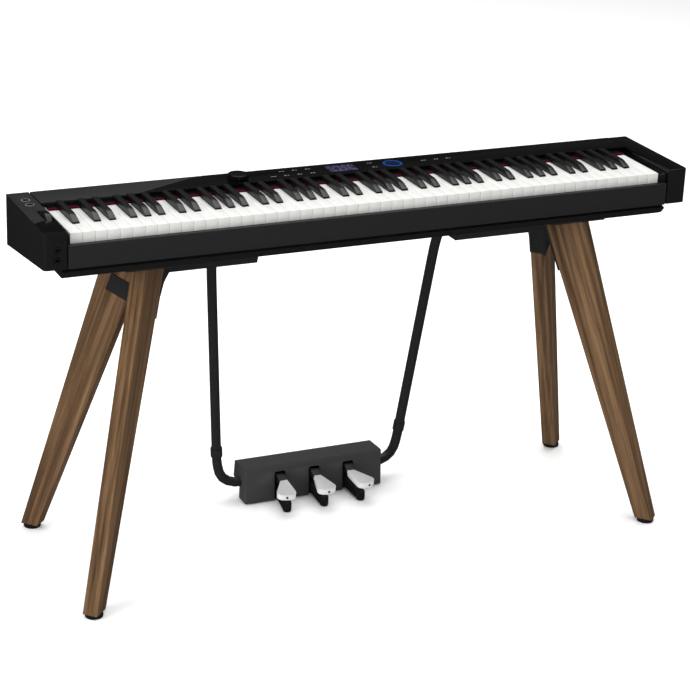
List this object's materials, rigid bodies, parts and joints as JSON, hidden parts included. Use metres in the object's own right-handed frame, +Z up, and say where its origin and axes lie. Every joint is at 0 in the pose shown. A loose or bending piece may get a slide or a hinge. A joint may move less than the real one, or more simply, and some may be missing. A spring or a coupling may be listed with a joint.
{
  "type": "digital piano on stand",
  "caption": "Slim full-size digital piano with pitch wheel, touch panel and knob, on splayed walnut legs with steel brackets, with a pedal unit hung on two bent rods.",
  "frame": {"origin": "on the floor, midway between the four feet, below the middle of the keyboard", "axes": "+X towards the treble end, +Y towards the back, away from the player, +Z up"},
  "size_m": [1.34, 0.4538, 0.753],
  "materials": {
    "case_plastic": "fine moulded satin black",
    "gloss_black": "polished piano black",
    "grained_cover": "fine grained matte black",
    "red_felt": "pressed wool felt",
    "display_glass": "tinted window over a display",
    "blue_light": "backlit blue ring",
    "circuit_laminate": "solder resist green",
    "speaker_cone": "pressed paper cone in a plastic basket",
    "socket_plastic": "moulded black",
    "black_steel": "fine textured black powder coat",
    "foot_rubber": "matte black",
    "bright_steel": "ground steel",
    "control_plastic": "semi-gloss black",
    "pedal_metal": "satin top with a polished rim",
    "walnut_wood": "oiled walnut with open grain",
    "black_key_plastic": "textured matte black",
    "white_key_plastic": "semi-gloss white"
  },
  "bodies": {
    "root": {"lower_case": "case_plastic", "front_rail": "case_plastic", "left_cheek": "gloss_black", "right_cheek": "gloss_black", "top_cover": "grained_cover", "control_panel": "gloss_black", "rear_panel": "case_plastic", "key_frame": "case_plastic", "felt_strip": "red_felt", "display_window": "display_glass", "touch_ring": "blue_light", "main_board": "circuit_laminate", "speaker_left": "speaker_cone", "speaker_right": "speaker_cone", "headphone_socket": "socket_plastic", "line_socket": "socket_plastic", "power_inlet": "socket_plastic", "left_bracket": "black_steel", "right_bracket": "black_steel", "pedal_rod_left": "black_steel", "pedal_rod_right": "black_steel", "pedal_box": "black_steel", "pedal_base": "foot_rubber", "pedal_shaft": "bright_steel", "leg_front_left": "walnut_wood", "foot_pad_front_left": "foot_rubber", "leg_rear_left": "walnut_wood", "foot_pad_rear_left": "foot_rubber", "leg_front_right": "walnut_wood", "foot_pad_front_right": "foot_rubber", "leg_rear_right": "walnut_wood", "foot_pad_rear_right": "foot_rubber"},
    "power_button": {"power_button": "control_plastic"},
    "function_button": {"function_button": "control_plastic"},
    "pitch_wheel": {"pitch_wheel": "control_plastic"},
    "volume_knob": {"volume_knob": "control_plastic"},
    "white_keys_cegb_1": {"white_keys_cegb_1": "white_key_plastic"},
    "white_keys_dfa_1": {"white_keys_dfa_1": "white_key_plastic"},
    "black_keys_1": {"black_keys_1": "black_key_plastic"},
    "white_keys_cegb_2": {"white_keys_cegb_2": "white_key_plastic"},
    "white_keys_dfa_2": {"white_keys_dfa_2": "white_key_plastic"},
    "black_keys_2": {"black_keys_2": "black_key_plastic"},
    "white_keys_cegb_3": {"white_keys_cegb_3": "white_key_plastic"},
    "white_keys_dfa_3": {"white_keys_dfa_3": "white_key_plastic"},
    "black_keys_3": {"black_keys_3": "black_key_plastic"},
    "white_keys_cegb_4": {"white_keys_cegb_4": "white_key_plastic"},
    "white_keys_dfa_4": {"white_keys_dfa_4": "white_key_plastic"},
    "black_keys_4": {"black_keys_4": "black_key_plastic"},
    "white_keys_cegb_5": {"white_keys_cegb_5": "white_key_plastic"},
    "white_keys_dfa_5": {"white_keys_dfa_5": "white_key_plastic"},
    "black_keys_5": {"black_keys_5": "black_key_plastic"},
    "white_keys_cegb_6": {"white_keys_cegb_6": "white_key_plastic"},
    "white_keys_dfa_6": {"white_keys_dfa_6": "white_key_plastic"},
    "black_keys_6": {"black_keys_6": "black_key_plastic"},
    "white_keys_cegb_7": {"white_keys_cegb_7": "white_key_plastic"},
    "white_keys_dfa_7": {"white_keys_dfa_7": "white_key_plastic"},
    "black_keys_7": {"black_keys_7": "black_key_plastic"},
    "pedal_soft": {"pedal_soft": "pedal_metal"},
    "pedal_middle": {"pedal_middle": "pedal_metal"},
    "pedal_sustain": {"pedal_sustain": "pedal_metal"}
  },
  "joints": [
    {"name": "power_button_press", "type": "slide", "parent": "root", "child": "power_button", "axis": [0, 0, -1], "range_m": [0, 0.0015], "stiffness_N_per_m": 400, "springref_m": -0.001},
    {"name": "function_button_press", "type": "slide", "parent": "root", "child": "function_button", "axis": [0, 0, -1], "range_m": [0, 0.0015], "stiffness_N_per_m": 400, "springref_m": -0.001},
    {"name": "pitch_wheel_turn", "type": "hinge", "parent": "root", "child": "pitch_wheel", "pos_m": [-0.637, -0.039, 0.72], "axis": [1, 0, 0], "range_deg": [-50, 50], "stiffness_Nm_per_rad": 0.03},
    {"name": "volume_knob_turn", "type": "hinge", "parent": "root", "child": "volume_knob", "pos_m": [-0.22, 0.071, 0.7428], "axis": [0, 0, 1], "range_deg": [-150, 150]},
    {"name": "white_keys_cegb_1_press", "type": "hinge", "parent": "root", "child": "white_keys_cegb_1", "pos_m": [0, 0.092, 0.7065], "axis": [1, 0, 0], "range_deg": [0, 2.7], "stiffness_Nm_per_rad": 4, "springref_deg": -8.59},
    {"name": "white_keys_dfa_1_press", "type": "hinge", "parent": "root", "child": "white_keys_dfa_1", "pos_m": [0, 0.092, 0.7065], "axis": [1, 0, 0], "range_deg": [0, 2.7], "stiffness_Nm_per_rad": 4, "springref_deg": -8.59},
    {"name": "black_keys_1_press", "type": "hinge", "parent": "root", "child": "black_keys_1", "pos_m": [0, 0.092, 0.7065], "axis": [1, 0, 0], "range_deg": [0, 2.7], "stiffness_Nm_per_rad": 4, "springref_deg": -8.59},
    {"name": "white_keys_cegb_2_press", "type": "hinge", "parent": "root", "child": "white_keys_cegb_2", "pos_m": [0, 0.092, 0.7065], "axis": [1, 0, 0], "range_deg": [0, 2.7], "stiffness_Nm_per_rad": 4, "springref_deg": -8.59},
    {"name": "white_keys_dfa_2_press", "type": "hinge", "parent": "root", "child": "white_keys_dfa_2", "pos_m": [0, 0.092, 0.7065], "axis": [1, 0, 0], "range_deg": [0, 2.7], "stiffness_Nm_per_rad": 4, "springref_deg": -8.59},
    {"name": "black_keys_2_press", "type": "hinge", "parent": "root", "child": "black_keys_2", "pos_m": [0, 0.092, 0.7065], "axis": [1, 0, 0], "range_deg": [0, 2.7], "stiffness_Nm_per_rad": 4, "springref_deg": -8.59},
    {"name": "white_keys_cegb_3_press", "type": "hinge", "parent": "root", "child": "white_keys_cegb_3", "pos_m": [0, 0.092, 0.7065], "axis": [1, 0, 0], "range_deg": [0, 2.7], "stiffness_Nm_per_rad": 4, "springref_deg": -8.59},
    {"name": "white_keys_dfa_3_press", "type": "hinge", "parent": "root", "child": "white_keys_dfa_3", "pos_m": [0, 0.092, 0.7065], "axis": [1, 0, 0], "range_deg": [0, 2.7], "stiffness_Nm_per_rad": 4, "springref_deg": -8.59},
    {"name": "black_keys_3_press", "type": "hinge", "parent": "root", "child": "black_keys_3", "pos_m": [0, 0.092, 0.7065], "axis": [1, 0, 0], "range_deg": [0, 2.7], "stiffness_Nm_per_rad": 4, "springref_deg": -8.59},
    {"name": "white_keys_cegb_4_press", "type": "hinge", "parent": "root", "child": "white_keys_cegb_4", "pos_m": [0, 0.092, 0.7065], "axis": [1, 0, 0], "range_deg": [0, 2.7], "stiffness_Nm_per_rad": 4, "springref_deg": -8.59},
    {"name": "white_keys_dfa_4_press", "type": "hinge", "parent": "root", "child": "white_keys_dfa_4", "pos_m": [0, 0.092, 0.7065], "axis": [1, 0, 0], "range_deg": [0, 2.7], "stiffness_Nm_per_rad": 4, "springref_deg": -8.59},
    {"name": "black_keys_4_press", "type": "hinge", "parent": "root", "child": "black_keys_4", "pos_m": [0, 0.092, 0.7065], "axis": [1, 0, 0], "range_deg": [0, 2.7], "stiffness_Nm_per_rad": 4, "springref_deg": -8.59},
    {"name": "white_keys_cegb_5_press", "type": "hinge", "parent": "root", "child": "white_keys_cegb_5", "pos_m": [0, 0.092, 0.7065], "axis": [1, 0, 0], "range_deg": [0, 2.7], "stiffness_Nm_per_rad": 4, "springref_deg": -8.59},
    {"name": "white_keys_dfa_5_press", "type": "hinge", "parent": "root", "child": "white_keys_dfa_5", "pos_m": [0, 0.092, 0.7065], "axis": [1, 0, 0], "range_deg": [0, 2.7], "stiffness_Nm_per_rad": 4, "springref_deg": -8.59},
    {"name": "black_keys_5_press", "type": "hinge", "parent": "root", "child": "black_keys_5", "pos_m": [0, 0.092, 0.7065], "axis": [1, 0, 0], "range_deg": [0, 2.7], "stiffness_Nm_per_rad": 4, "springref_deg": -8.59},
    {"name": "white_keys_cegb_6_press", "type": "hinge", "parent": "root", "child": "white_keys_cegb_6", "pos_m": [0, 0.092, 0.7065], "axis": [1, 0, 0], "range_deg": [0, 2.7], "stiffness_Nm_per_rad": 4, "springref_deg": -8.59},
    {"name": "white_keys_dfa_6_press", "type": "hinge", "parent": "root", "child": "white_keys_dfa_6", "pos_m": [0, 0.092, 0.7065], "axis": [1, 0, 0], "range_deg": [0, 2.7], "stiffness_Nm_per_rad": 4, "springref_deg": -8.59},
    {"name": "black_keys_6_press", "type": "hinge", "parent": "root", "child": "black_keys_6", "pos_m": [0, 0.092, 0.7065], "axis": [1, 0, 0], "range_deg": [0, 2.7], "stiffness_Nm_per_rad": 4, "springref_deg": -8.59},
    {"name": "white_keys_cegb_7_press", "type": "hinge", "parent": "root", "child": "white_keys_cegb_7", "pos_m": [0, 0.092, 0.7065], "axis": [1, 0, 0], "range_deg": [0, 2.7], "stiffness_Nm_per_rad": 4, "springref_deg": -8.59},
    {"name": "white_keys_dfa_7_press", "type": "hinge", "parent": "root", "child": "white_keys_dfa_7", "pos_m": [0, 0.092, 0.7065], "axis": [1, 0, 0], "range_deg": [0, 2.7], "stiffness_Nm_per_rad": 4, "springref_deg": -8.59},
    {"name": "black_keys_7_press", "type": "hinge", "parent": "root", "child": "black_keys_7", "pos_m": [0, 0.092, 0.7065], "axis": [1, 0, 0], "range_deg": [0, 2.7], "stiffness_Nm_per_rad": 4, "springref_deg": -8.59},
    {"name": "pedal_soft_press", "type": "hinge", "parent": "root", "child": "pedal_soft", "pos_m": [-0.082, 0.19, 0.048], "axis": [1, 0, 0], "range_deg": [0, 6], "stiffness_Nm_per_rad": 8, "springref_deg": -4.58},
    {"name": "pedal_middle_press", "type": "hinge", "parent": "root", "child": "pedal_middle", "pos_m": [-0.004, 0.19, 0.048], "axis": [1, 0, 0], "range_deg": [0, 6], "stiffness_Nm_per_rad": 8, "springref_deg": -4.58},
    {"name": "pedal_sustain_press", "type": "hinge", "parent": "root", "child": "pedal_sustain", "pos_m": [0.074, 0.19, 0.048], "axis": [1, 0, 0], "range_deg": [0, 6], "stiffness_Nm_per_rad": 8, "springref_deg": -4.58}
  ]
}
